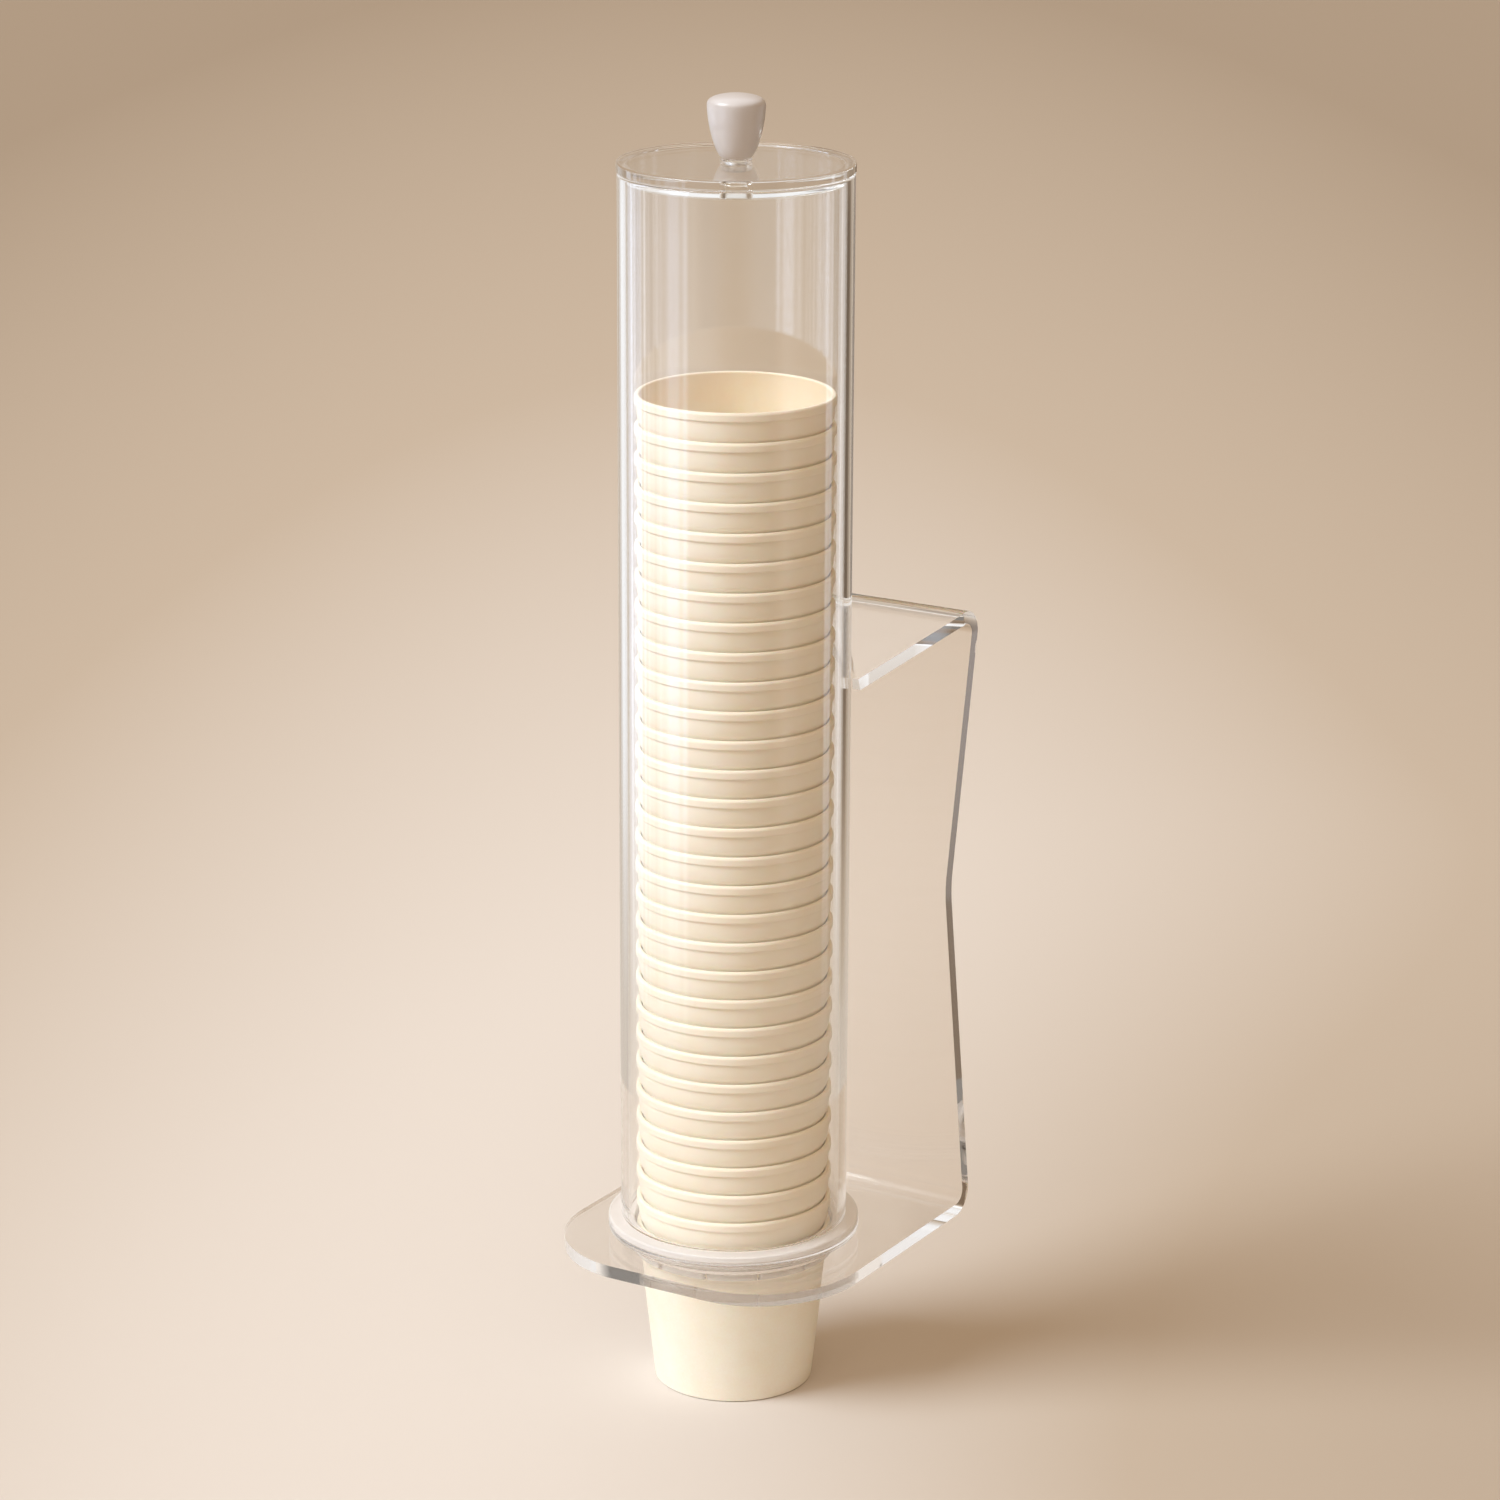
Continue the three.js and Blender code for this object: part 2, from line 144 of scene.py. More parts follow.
def cup_board(name, dark, pale, roughness):
    """Cream cup board, bare outside and lined inside, with a faint fibre grain in colour and face."""
    material, tree, output = new_material(name)
    place = add_node(tree, "ShaderNodeTexCoord")
    fibre = add_node(tree, "ShaderNodeTexNoise", links={"Vector": place.outputs["Object"]},
                     values={"Scale": 1 / (FIBRE_GRAIN * MM), "Detail": 4.0, "Roughness": 0.6})
    cloud = add_node(tree, "ShaderNodeTexNoise", links={"Vector": place.outputs["Object"]},
                     values={"Scale": 1 / (CLOUD_GRAIN * MM), "Detail": 2.0})
    both = add_node(tree, "ShaderNodeMath", operation="ADD",
                    links={0: fibre.outputs["Fac"], 1: cloud.outputs["Fac"]})
    halved = add_node(tree, "ShaderNodeMath", operation="MULTIPLY",
                      links={0: both.outputs[0]}, values={1: 0.5})
    ramp = add_node(tree, "ShaderNodeValToRGB", links={"Fac": halved.outputs[0]})
    for stop, (colour, position) in zip(ramp.color_ramp.elements, ((dark, 0.35), (pale, 0.65))):
        stop.color = linear(colour)
        stop.position = position
    bump = add_node(tree, "ShaderNodeBump", links={"Height": fibre.outputs["Fac"]},
                    values={"Strength": 0.12, "Distance": 0.06 * MM})
    body = add_node(tree, "ShaderNodeBsdfPrincipled",
                    links={"Base Color": ramp.outputs["Color"], "Normal": bump.outputs[0]},
                    values={"Roughness": roughness, "IOR": 1.45, "Specular IOR Level": 0.35,
                            "Subsurface Weight": 0.15, "Subsurface Scale": 1.2 * MM})
    tree.links.new(body.outputs[0], output.inputs["Surface"])
    return material


def white_plastic():
    """Moulded ABS, satin white with a soft sheen, and a faint ripple from the mould's polish."""
    material, tree, output = new_material("white_abs")
    wave = add_node(tree, "ShaderNodeTexNoise", values={"Scale": KNOB_RIPPLES, "Detail": 1.0})
    bump = add_node(tree, "ShaderNodeBump", links={"Height": wave.outputs["Fac"]},
                    values={"Strength": 0.05, "Distance": 0.15 * MM})
    body = add_node(tree, "ShaderNodeBsdfPrincipled", links={"Normal": bump.outputs[0]}, values={
        "Base Color": linear("#D2CED0"), "Roughness": 0.35, "IOR": 1.53,
        "Coat Weight": 0.4, "Coat Roughness": 0.25})
    tree.links.new(body.outputs[0], output.inputs["Surface"])
    return material


FINISHES = {
    "acrylic": clear_acrylic("clear_cast_acrylic", "#FEFEFD"),
    "sheet": clear_acrylic("clear_bent_acrylic", "#F9F6F2"),
    "silicone": milky_silicone(),
    "paper": cup_board("cup_paper", "#F9F1E2", "#FCF7EC", 0.55),
    "lining": cup_board("lined_cup_paper", "#F2E5CE", "#F5ECDC", 0.4),
    "abs": white_plastic(),
}


def piece(name, mesh, finish, body, slot, *nodes):
    """Adds a mesh in one finish, as a piece that stands for its CAD nodes and moves with their body."""
    mesh.materials.append(FINISHES[finish])
    obj = bpy.data.objects.new(name, mesh)
    bpy.context.collection.objects.link(obj)
    settle(obj, body, slot, *nodes)


def settle(obj, body, slot, *nodes):
    """Gives an object its body and hides the CAD nodes that it stands for; the slot is not used."""
    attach(obj, body)
    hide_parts(*nodes)


def closed_mesh(name, points, faces):
    """A closed mesh in metres, from points in millimetres.

    Its faces look out, and its edges are smoothed by angle.
    """
    mesh = bpy.data.meshes.new(name)
    mesh.from_pydata([Vector(p) * MM for p in points], [], faces)
    work = bmesh.new()
    work.from_mesh(mesh)
    bmesh.ops.recalc_face_normals(work, faces=work.faces)
    work.to_mesh(mesh)
    work.free()
    mesh.shade_smooth()
    mesh.set_sharp_from_angle(angle=SMOOTH_ANGLE)
    return mesh


FLAT_MARGIN = 0.3


def eased(corners, radius, steps=3):
    """A closed outline with its corners rounded, and a point just past each so that the flats shade flat.

    A corner may give its own radius, and zero keeps it sharp.
    """
    outline = []
    count = len(corners)
    for i, corner in enumerate(corners):
        here = Vector(corner[:2])
        own = corner[2] if len(corner) > 2 else radius
        before = Vector(corners[i - 1][:2]) - here
        after = Vector(corners[(i + 1) % count][:2]) - here
        if own <= 0:
            outline.append(tuple(here))
            continue
        half = before.angle(after) / 2
        reach = min(own / math.tan(half), before.length * 0.49, after.length * 0.49)
        own = reach * math.tan(half)
        middle = here + (before.normalized() + after.normalized()).normalized() * (own / math.sin(half))
        start = here + before.normalized() * reach - middle
        end = here + after.normalized() * reach - middle
        if before.length > 2 * (reach + FLAT_MARGIN):
            outline.append(tuple(here + before.normalized() * (reach + FLAT_MARGIN)))
        swing = start.angle_signed(end)
        for step in range(steps + 1):
            turn = Matrix.Rotation(-swing * step / steps, 2)
            outline.append(tuple(middle + turn @ start))
        if after.length > 2 * (reach + FLAT_MARGIN):
            outline.append(tuple(here + after.normalized() * (reach + FLAT_MARGIN)))
    return outline


def turned(name, outline, z=0.0, y=AXIS_Y, facets=128, wobble=None):
    """A closed mesh turned from an outline of (radius, height) about the tube's axis."""
    points, rows = [], []
    for radius, height in outline:
        if radius < 1e-6:
            rows.append([len(points)] * facets)
            points.append((0, y, z + height))
            continue
        rows.append(list(range(len(points), len(points) + facets)))
        for i in range(facets):
            angle = TURN * i / facets
            reach = radius + (wobble(angle, height) if wobble else 0)
            points.append((reach * math.sin(angle), y - reach * math.cos(angle), z + height))
    faces = []
    closes = outline[0][0] > 1e-6
    for row, following in zip(rows, rows[1:] + (rows[:1] if closes else [])):
        for i in range(facets):
            j = (i + 1) % facets
            corners = [row[i], row[j], following[j], following[i]]
            kept = [c for k, c in enumerate(corners) if c != corners[k - 1]]
            if len(kept) > 2:
                faces.append(kept)
    return closed_mesh(name, points, faces)


def rod(name, radius, low, high):
    """A closed rod about the tube's axis, to cut a round opening."""
    return turned(name, [(0, low), (radius, low), (radius, high), (0, high)], facets=192)


def bar(name, half_long, half_wide, low, high, turn):
    """A closed bar across the tube's axis, turned about it, to cut a slit or a slot."""
    spin = Matrix.Rotation(turn, 3, "Z")
    corners = []
    for x in (-half_long, half_long):
        for y in (-half_wide, half_wide):
            for z in (low, high):
                spot = spin @ Vector((x, y, 0))
                corners.append((spot.x, spot.y + AXIS_Y, z))
    return closed_mesh(name, corners, [(0, 1, 3, 2), (4, 6, 7, 5), (0, 2, 6, 4),
                                       (1, 5, 7, 3), (0, 4, 5, 1), (2, 3, 7, 6)])


def cut_mesh(name, mesh, cutters, bevel=None):
    """A mesh with other closed meshes cut out of it and, if asked, its sharp edges bevelled."""
    holder = bpy.data.objects.new(name, mesh)
    bpy.context.collection.objects.link(holder)
    extras = []
    for i, cutter in enumerate(cutters):
        extra = bpy.data.objects.new(f"{name}_cutter_{i}", cutter)
        bpy.context.collection.objects.link(extra)
        extras.append(extra)
        cut = holder.modifiers.new("cut", "BOOLEAN")
        cut.operation = "DIFFERENCE"
        cut.object = extra
        cut.solver = "EXACT"
    if bevel:
        edge = holder.modifiers.new("edge", "BEVEL")
        for key, value in bevel.items():
            setattr(edge, key, value)
    depsgraph = bpy.context.evaluated_depsgraph_get()
    result = bpy.data.meshes.new_from_object(holder.evaluated_get(depsgraph))
    result.name = name
    for extra in [*extras, holder]:
        bpy.data.objects.remove(extra)
    return result


# Tube
TUBE_OUTER = 45
TUBE_WALL = 3
TUBE_EDGE = 0.5
tube_length = TUBE_HIGH.z - TUBE_LOW.z
tube_outline = eased([(TUBE_OUTER - TUBE_WALL, 0), (TUBE_OUTER, 0), (TUBE_OUTER, tube_length),
                      (TUBE_OUTER - TUBE_WALL, tube_length)], TUBE_EDGE)
piece("clear_tube", turned("clear_tube", tube_outline, TUBE_LOW.z, facets=192), "acrylic",
      "frame", "clear_acrylic", "tube")

# Collar, with its heights from its top
COLLAR_FLANGE = 50
COLLAR_FLANGE_LOW = -2.2
COLLAR_BODY = 45
COLLAR_BODY_LOW = -5.2
COLLAR_SPIGOT = 42.6
COLLAR_SPIGOT_LOW = -9.2
COLLAR_BORE = 40.6
COLLAR_EDGE = 0.5
collar_outline = eased([
    (COLLAR_BORE, COLLAR_SPIGOT_LOW), (COLLAR_SPIGOT, COLLAR_SPIGOT_LOW),
    (COLLAR_SPIGOT, COLLAR_BODY_LOW, 0), (COLLAR_BODY, COLLAR_BODY_LOW),
    (COLLAR_BODY, COLLAR_FLANGE_LOW, 0), (COLLAR_FLANGE, COLLAR_FLANGE_LOW),
    (COLLAR_FLANGE, 0), (COLLAR_BORE, 0)], COLLAR_EDGE)
piece("clear_collar", turned("clear_collar", collar_outline, COLLAR_TOP, facets=160), "acrylic",
      "frame", "clear_acrylic", "base_collar")

# Soft ring with its petals, with its heights from its top
RING_FLANGE_LOW = -2.8
SLEEVE_OUTER = 40.3
SLEEVE_OUTER_LOW = -17.3
SLEEVE_INNER = 39.6
SLEEVE_INNER_LOW = -16.5
LIP_RADIUS = 37.7
LIP_TOP = -17.3
LIP_LOW = -18.1
LIP_EDGE = 0.3
PETALS = 12
SLIT = 1.0
SLIT_REACH = 44
SLIT_TOP = -14.1
SLIT_LOW = -22
ring_outline = eased([
    (SLEEVE_OUTER, RING_FLANGE_LOW, 0), (COLLAR_FLANGE, RING_FLANGE_LOW, 0.5), (COLLAR_FLANGE, 0, 0.7),
    (SLEEVE_INNER, 0, 0.5), (SLEEVE_INNER, SLEEVE_INNER_LOW, 0), (LIP_RADIUS, LIP_TOP),
    (LIP_RADIUS, LIP_LOW), (SLEEVE_OUTER, SLEEVE_OUTER_LOW, 0)], LIP_EDGE)
slits = [bar(f"slit_{i}", SLIT_REACH, SLIT / 2, SLIT_LOW + RING_TOP, SLIT_TOP + RING_TOP,
             (i + 0.5) * TURN / PETALS) for i in range(PETALS // 2)]
ring_mesh = cut_mesh("soft_stop_ring", turned("stop_ring", ring_outline, RING_TOP, facets=144), slits)
piece("soft_stop_ring", ring_mesh, "silicone", "frame", "milky_silicone", "cup_stop_ring")

# Lid, its disc and its locating disc as one stepped clear piece, as air between them would look milky
LID_RADIUS = 45.3
LID_THICK = 4
LID_EDGE = 0.6
LOCATING_RADIUS = 41.2
LOCATING_EDGE = 0.5
SCREW_BORE = 4.3
WASHER_RADIUS = 6
WASHER_THICK = 0.8
WASHER_EDGE = 0.2
locating_drop = LOCATING_DISC_BOTTOM - LID_BOTTOM
lid_outline = eased([
    (SCREW_BORE, locating_drop, 0), (LOCATING_RADIUS, locating_drop, LOCATING_EDGE),
    (LOCATING_RADIUS, 0, 0), (LID_RADIUS, 0), (LID_RADIUS, LID_THICK), (SCREW_BORE, LID_THICK, 0)],
    LID_EDGE, 4)
piece("clear_lid", turned("clear_lid", lid_outline, LID_BOTTOM, facets=192), "acrylic",
      "lid", "clear_acrylic", "lid_disc", "lid_locating_disc")
washer_outline = eased([(SCREW_BORE, 0, 0), (WASHER_RADIUS, 0), (WASHER_RADIUS, WASHER_THICK),
                        (SCREW_BORE, WASHER_THICK, 0)], WASHER_EDGE)
piece("clear_washer", turned("clear_washer", washer_outline, WASHER_BOTTOM, facets=96), "acrylic",
      "lid", "clear_acrylic", "knob_washer")

# Knob, an egg with its blunt end up, as (share of its height, share of its radius)
KNOB_RADIUS = 11.1
KNOB_HEIGHT = 24.1
KNOB_BORE_DEEP = 10
KNOB_SHARES = [
    (0.0, 0.5), (0.012, 0.535), (0.05, 0.6), (0.12, 0.682), (0.22, 0.765), (0.32, 0.832), (0.42, 0.888),
    (0.52, 0.932), (0.62, 0.967), (0.72, 0.99), (0.79, 1.0), (0.84, 0.997), (0.875, 0.975), (0.905, 0.925),
    (0.93, 0.845), (0.953, 0.72), (0.972, 0.56), (0.988, 0.36), (0.997, 0.17), (1.0, 0.0)]


def smooth_curve(shares, steps=4):
    """Points on a smooth curve through (height, radius) shares."""
    curve = []
    for i in range(len(shares) - 1):
        a = Vector(shares[max(i - 1, 0)])
        b, c = Vector(shares[i]), Vector(shares[i + 1])
        d = Vector(shares[min(i + 2, len(shares) - 1)])
        for step in range(steps):
            t = step / steps
            curve.append(0.5 * ((2 * b) + (c - a) * t + (2 * a - 5 * b + 4 * c - d) * t * t
                                + (3 * b - a - 3 * c + d) * t ** 3))
    return curve + [Vector(shares[-1])]


knob_outline = [(0, KNOB_BORE_DEEP), (SCREW_BORE, KNOB_BORE_DEEP), (SCREW_BORE, 0)]
knob_outline += [(max(r, 0) * KNOB_RADIUS, z * KNOB_HEIGHT) for z, r in smooth_curve(KNOB_SHARES)]
piece("white_knob", turned("white_knob", knob_outline, KNOB_BOTTOM, facets=128), "abs",
      "lid", "white_plastic", "knob")

# Screw, clear like the lid, its pan head below the locating disc
SCREW_HEAD = 2.4
SCREW_RADIUS = 4
SCREW_IN_KNOB = 9
SCREW_CHAMFER = 0.8
THREAD_DEEP = 0.5
THREAD_PITCH = 1.25
THREAD_IN_KNOB = 0.6
PAN_HEAD = [(0, 0), (4.6, 0.1), (5.5, 0.45), (5.9, 1.0), (6, 1.6), (6, SCREW_HEAD - 0.15),
            (5.85, SCREW_HEAD)]
RECESS_HALF_LONG = 3
RECESS_HALF_WIDE = 0.6
RECESS_LOW = -1
RECESS_DEEP = 1.3
shank_top = KNOB_BOTTOM + SCREW_IN_KNOB - SCREW_BOTTOM
level = KNOB_BOTTOM + THREAD_IN_KNOB - SCREW_BOTTOM
screw_outline = PAN_HEAD + [(SCREW_RADIUS, SCREW_HEAD)]
while level < shank_top - 2 * SCREW_CHAMFER:
    screw_outline += [(SCREW_RADIUS, level), (SCREW_RADIUS - THREAD_DEEP, level + THREAD_PITCH / 2)]
    level += THREAD_PITCH
screw_outline += [(SCREW_RADIUS, level), (SCREW_RADIUS, shank_top - SCREW_CHAMFER),
                  (SCREW_RADIUS - SCREW_CHAMFER, shank_top), (0, shank_top)]
cross = [bar("recess", RECESS_HALF_LONG, RECESS_HALF_WIDE, RECESS_LOW + SCREW_BOTTOM,
             RECESS_DEEP + SCREW_BOTTOM, turn) for turn in (0, TURN / 4)]
screw_mesh = cut_mesh("pan_screw", turned("pan_screw", screw_outline, SCREW_BOTTOM, facets=96), cross)
piece("pan_screw", screw_mesh, "acrylic", "lid", "clear_acrylic", "knob_screw")

# Cups, each one mesh about its own axis, from a rolled rim down to a recessed floor
CUP_HEIGHT = 55.9
CUP_BASE = 31.5
CUP_WALL_TOP = 37.3
CUP_RIM = 38.8
CUP_BEAD = 3.4
CUP_WALL = 0.6
CUP_FLOOR_TOP = 11.32
CUP_SHOULDER = [(44.2, 36.38), (44.45, 36.42), (44.9, 36.75), (45.6, 37.2), (46.8, 37.55), (48.4, 37.8),
                (50.2, 37.93), (51.8, 37.98)]
CUP_SEAM_LOW = 12
CUP_SEAM_HIGH = 44
CUP_SEAM_WIDE = 6.0
CUP_SEAM_STEP = 0.22
CUP_TWIST = 47
CUP_TWIST_MOST = 35
STRAIGHT_CUPS = 2
LINING_EDGE = 0.3


def cup_outer(height):
    """The radius of the cup's straight wall at a height."""
    return CUP_BASE + (CUP_WALL_TOP - CUP_BASE) * height / (CUP_HEIGHT - CUP_BEAD)


def cup_outline(shoulder):
    """The cup's outline, from under its floor, down the skirt, up the wall, over the rim and down inside.

    A stacked cup's wall swells out from where it enters the next cup. The lowest two stay straight for
    the petals.
    """
    floor_under = CUP_FLOOR_TOP - CUP_WALL
    skirt = cup_outer(floor_under)
    outline = [(0, floor_under), (skirt - 2.2, floor_under), (skirt - 1.3, floor_under - 0.7),
               (CUP_BASE - 1.0, 0.6), (CUP_BASE - 0.9, 0.15), (CUP_BASE - 0.6, 0), (CUP_BASE - 0.3, 0.03),
               (CUP_BASE, 0.3)]
    outline += [(cup_outer(h), h) for h in (1.5, 8, 11, 16, 24, 32, 40)]
    if shoulder:
        outline += [(radius, h) for h, radius in CUP_SHOULDER]
    else:
        outline += [(cup_outer(h), h) for h in (46, 50, 51.8)]
    inner = CUP_WALL_TOP - CUP_WALL
    under = CUP_HEIGHT - CUP_BEAD
    outline += eased([
        (outline[-1][0] - 0.12, under, 0), (CUP_RIM, under + 0.1, 0.3),
        (CUP_RIM, CUP_HEIGHT - 0.8, 0.9), (CUP_RIM - 0.5, CUP_HEIGHT), (inner, CUP_HEIGHT, 0.7),
        (inner, under, 0)], 0.5, 5)[:-1]
    outline += [(cup_outer(h) - CUP_WALL, h) for h in (50, 44, 36, 28, 20, 14)]
    floor_edge = cup_outer(12) - CUP_WALL
    outline += [(floor_edge, 12.1), (floor_edge - 0.3, 11.6), (floor_edge - 0.9, CUP_FLOOR_TOP),
                (0, CUP_FLOOR_TOP)]
    return outline


def cup_seam(angle, height):
    """The lap of the wall's side seam, at the back of the cup.

    It is a step at one side that fades out at the other.
    """
    if not CUP_SEAM_LOW < height < CUP_SEAM_HIGH:
        return 0
    along = ((angle - math.pi) * CUP_BASE) / CUP_SEAM_WIDE + 0.5
    return CUP_SEAM_STEP * along if 0 <= along <= 1 else 0


cup_meshes = [turned(name, cup_outline(shoulder), y=0, facets=144, wobble=cup_seam)
              for name, shoulder in (("paper_cup", True), ("bottom_paper_cup", False))]
for mesh in cup_meshes:
    mesh.materials.append(FINISHES["paper"])
    mesh.materials.append(FINISHES["lining"])
    for face in mesh.polygons:
        height = face.center.z / MM
        inside = math.hypot(face.center.x, face.center.y) / MM < cup_outer(height) - CUP_WALL / 2
        lined = CUP_FLOOR_TOP - LINING_EDGE < height < CUP_HEIGHT - LINING_EDGE
        face.material_index = int(inside and lined)
for number in range(1, CUP_COUNT + 1):
    node = f"cup_{number:02d}"
    body = "bottom_cup" if number == CUP_COUNT else "cup_stack"
    cup = bpy.data.objects.new(f"paper_{node}", cup_meshes[number > CUP_COUNT - STRAIGHT_CUPS])
    bpy.context.collection.objects.link(cup)
    cup.location = (0, AXIS_Y * MM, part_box(node)[0][2])
    cup.rotation_euler.z = math.radians((number * CUP_TWIST) % (2 * CUP_TWIST_MOST) - CUP_TWIST_MOST)
    settle(cup, body, "cup_paper", node)

# Bracket, one sheet drawn through cross sections and bent at the bottom and the top
SHEET = 5
BEND_INNER = 5
BEND_OUTER = BEND_INNER + SHEET
BEND_STEPS = 14
HALF_WIDE = 63.5
CORNER_ACROSS = 42.4
CORNER_ALONG = 44.8
CORNER_STEPS = 24
WAIST_DEEP = 10.2
WAIST_RISE = 9
WAIST_BLEND = 7
WAIST_STEPS = 8
FLANGE_TIP_BEHIND = 16
FLANGE_DROP = 17
FLANGE_TIP_HALF = 45.9
FLANGE_BEND_STEPS = 18
HOLE_RADIUS = 42.9
NOTCH_RADIUS = 46
CUT_PAST = 5
BRACKET_EDGE = 0.6


def bend_rows(centre_z, first, last, steps):
    """Cross sections round a bend, each as its outer point, its inner point and its half width."""
    rows = []
    for step in range(steps + 1):
        angle = first + (last - first) * step / steps
        outer, inner = ((-BEND_OUTER + radius * math.sin(angle), centre_z - radius * math.cos(angle))
                        for radius in (BEND_OUTER, BEND_INNER))
        rows.append((outer, inner, HALF_WIDE))
    return rows


def bracket_rows():
    """Cross sections from the base plate's front, up the waisted back plate and along the top flange."""
    rows = []
    plate_top = BRACKET_BOTTOM + SHEET
    for step in range(CORNER_STEPS + 1):
        turn = (TURN / 4) * step / CORNER_STEPS
        y = BRACKET_FRONT + CORNER_ALONG * (1 - math.cos(turn))
        half = HALF_WIDE - CORNER_ACROSS * (1 - math.sin(turn))
        rows.append(((y, BRACKET_BOTTOM), (y, plate_top), half))
    low, high = BRACKET_BOTTOM + BEND_OUTER, BRACKET_TOP - BEND_OUTER
    rows += bend_rows(low, 0, TURN / 4, BEND_STEPS)
    waist = HALF_WIDE - WAIST_DEEP
    start = Vector((waist + WAIST_DEEP * WAIST_BLEND / (WAIST_RISE - low), WAIST_RISE - WAIST_BLEND))
    end = Vector((waist + WAIST_DEEP * WAIST_BLEND / (high - WAIST_RISE), WAIST_RISE + WAIST_BLEND))
    knee = Vector((waist, WAIST_RISE))
    for step in range(WAIST_STEPS + 1):
        t = step / WAIST_STEPS
        spot = start * (1 - t) ** 2 + knee * 2 * t * (1 - t) + end * t * t
        rows.append(((0, spot.y), (-SHEET, spot.y), spot.x))
    tip = Vector((AXIS_Y + FLANGE_TIP_BEHIND, BRACKET_TOP - FLANGE_DROP))
    to_tip = tip - Vector((-BEND_OUTER, high))
    fall = math.atan2(-to_tip.x, to_tip.y) - math.acos(BEND_OUTER / to_tip.length)
    rows += bend_rows(high, TURN / 4, TURN / 2 + fall, FLANGE_BEND_STEPS)
    tip_under = (tip.x + SHEET * math.sin(fall), tip.y - SHEET * math.cos(fall))
    rows.append(((tip.x, tip.y), tip_under, FLANGE_TIP_HALF))
    return rows


def sheet_mesh(rows):
    """The sheet's closed mesh, from one cross section to the next."""
    points = []
    for outer, inner, half in rows:
        points += [(-half, *outer), (half, *outer), (half, *inner), (-half, *inner)]
    faces = [(0, 1, 2, 3)]
    for i in range(len(rows) - 1):
        for side in range(4):
            following = (side + 1) % 4
            faces.append((4 * i + side, 4 * i + following, 4 * i + 4 + following, 4 * i + 4 + side))
    last = 4 * (len(rows) - 1)
    faces.append((last, last + 1, last + 2, last + 3))
    return closed_mesh("bracket_sheet", points, faces)


bracket_mesh = cut_mesh(
    "bent_bracket", sheet_mesh(bracket_rows()),
    [rod("hole", HOLE_RADIUS, BRACKET_BOTTOM - CUT_PAST, BRACKET_BOTTOM + SHEET + CUT_PAST),
     rod("notch", NOTCH_RADIUS, BRACKET_TOP - FLANGE_DROP - SHEET - CUT_PAST, BRACKET_TOP + CUT_PAST)],
    {"width": BRACKET_EDGE * MM, "segments": 2, "limit_method": "ANGLE", "angle_limit": math.radians(50),
     "harden_normals": True, "miter_outer": "MITER_ARC"})
piece("bent_bracket", bracket_mesh, "sheet", "frame", "clear_acrylic", "bracket")

# Floor, a seamless sweep, with a painted pool of light round the object and a painted shadow to its right.
# Their centres and sizes are in metres, across the view and away from the camera
FLOOR_GAP = 0.2
FLOOR_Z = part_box("cup_31")[0][2] - FLOOR_GAP * MM
FLOOR_HALF = 14.0
VIEW_AZIMUTH = math.radians(30.74)
# Painted pool of light and painted shadow, both carried in the floor's colour
PAINTED_LIGHT_POOL_CENTRE = (-0.063, -0.7, 0)
PAINTED_LIGHT_POOL_ACROSS = 1.02
PAINTED_LIGHT_POOL_DEEP = 5.15
PAINTED_LIGHT_POOL_POWER = 1.15
PAINTED_SHADOW_CENTRE = (0.277, -0.3, 0)
PAINTED_SHADOW_ACROSS = 0.62
PAINTED_SHADOW_DEEP = 1.04
PAINTED_SHADOW_AMOUNT = 0.37
# Painted glow of the floor for light mirrored twice or more, dimmed to the left of the view as painted
# shade
PAINTED_EDGE_GLOW = 0.95
PAINTED_EDGE_GLOW_FROM = -0.1
PAINTED_EDGE_SHADE = 0.25
PAINTED_EDGE_SHADE_TO = -0.2


def ellipse_reach(tree, place, centre, across, deep):
    """How far a place lies from a centre, in half axes of an ellipse."""
    moved = add_node(tree, "ShaderNodeVectorMath", operation="SUBTRACT",
                     links={0: place}, values={1: centre})
    squeezed = add_node(tree, "ShaderNodeVectorMath", operation="MULTIPLY",
                        links={0: moved.outputs[0]}, values={1: (1 / across, 1 / deep, 0)})
    reach = add_node(tree, "ShaderNodeVectorMath", operation="LENGTH", links={0: squeezed.outputs[0]})
    return reach.outputs["Value"]


